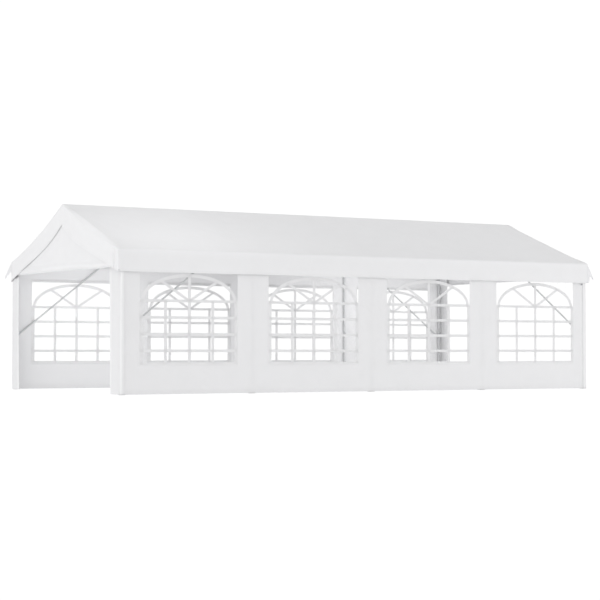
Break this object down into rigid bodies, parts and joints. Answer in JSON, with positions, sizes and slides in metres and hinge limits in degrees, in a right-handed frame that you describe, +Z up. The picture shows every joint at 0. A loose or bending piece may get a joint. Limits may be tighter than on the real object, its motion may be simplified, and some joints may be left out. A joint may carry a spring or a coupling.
{
  "type": "marquee tent",
  "caption": "Party marquee with a steel tube frame, a white gable roof cover with straight valances, side walls with arched film windows, and both gable ends open.",
  "frame": {"origin": "on the ground, at the middle of the tent's plan", "axes": "+X along the ridge, +Y across the tent, +Z up; the two long sides mirror each other, and so do the two ends"},
  "size_m": [8, 4, 2.695],
  "materials": {
    "leg_steel": "grey powder coat, satin",
    "rail_steel": "grey powder coat, satin",
    "rafter_steel": "grey powder coat, satin",
    "brace_steel": "grey powder coat, satin",
    "roof_sheet": "white coated PE tarpaulin",
    "gable_sheet": "white coated PE tarpaulin",
    "wall_sheet": "white coated PE tarpaulin",
    "end_strip_sheet": "white coated PE tarpaulin",
    "window_film": "clear soft PVC film"
  },
  "bodies": {
    "root": {"leg_near_1": "leg_steel", "leg_near_2": "leg_steel", "leg_near_3": "leg_steel", "leg_near_4": "leg_steel", "leg_near_5": "leg_steel", "leg_far_1": "leg_steel", "leg_far_2": "leg_steel", "leg_far_3": "leg_steel", "leg_far_4": "leg_steel", "leg_far_5": "leg_steel", "eave_rail_near": "rail_steel", "eave_rail_far": "rail_steel", "ridge_rail": "rail_steel", "rafter_near_1": "rafter_steel", "rafter_near_2": "rafter_steel", "rafter_near_3": "rafter_steel", "rafter_near_4": "rafter_steel", "rafter_near_5": "rafter_steel", "rafter_far_1": "rafter_steel", "rafter_far_2": "rafter_steel", "rafter_far_3": "rafter_steel", "rafter_far_4": "rafter_steel", "rafter_far_5": "rafter_steel", "knee_brace_near_left": "brace_steel", "knee_brace_near_right": "brace_steel", "knee_brace_far_left": "brace_steel", "knee_brace_far_right": "brace_steel", "roof_cover": "roof_sheet", "gable_panel_left": "gable_sheet", "gable_panel_right": "gable_sheet", "side_wall_near": "wall_sheet", "side_wall_far": "wall_sheet", "window_near_1": "window_film", "window_near_2": "window_film", "window_near_3": "window_film", "window_near_4": "window_film", "window_far_1": "window_film", "window_far_2": "window_film", "window_far_3": "window_film", "window_far_4": "window_film", "end_strip_near_left": "end_strip_sheet", "end_strip_far_left": "end_strip_sheet", "end_strip_near_right": "end_strip_sheet", "end_strip_far_right": "end_strip_sheet"}
  },
  "joints": []
}
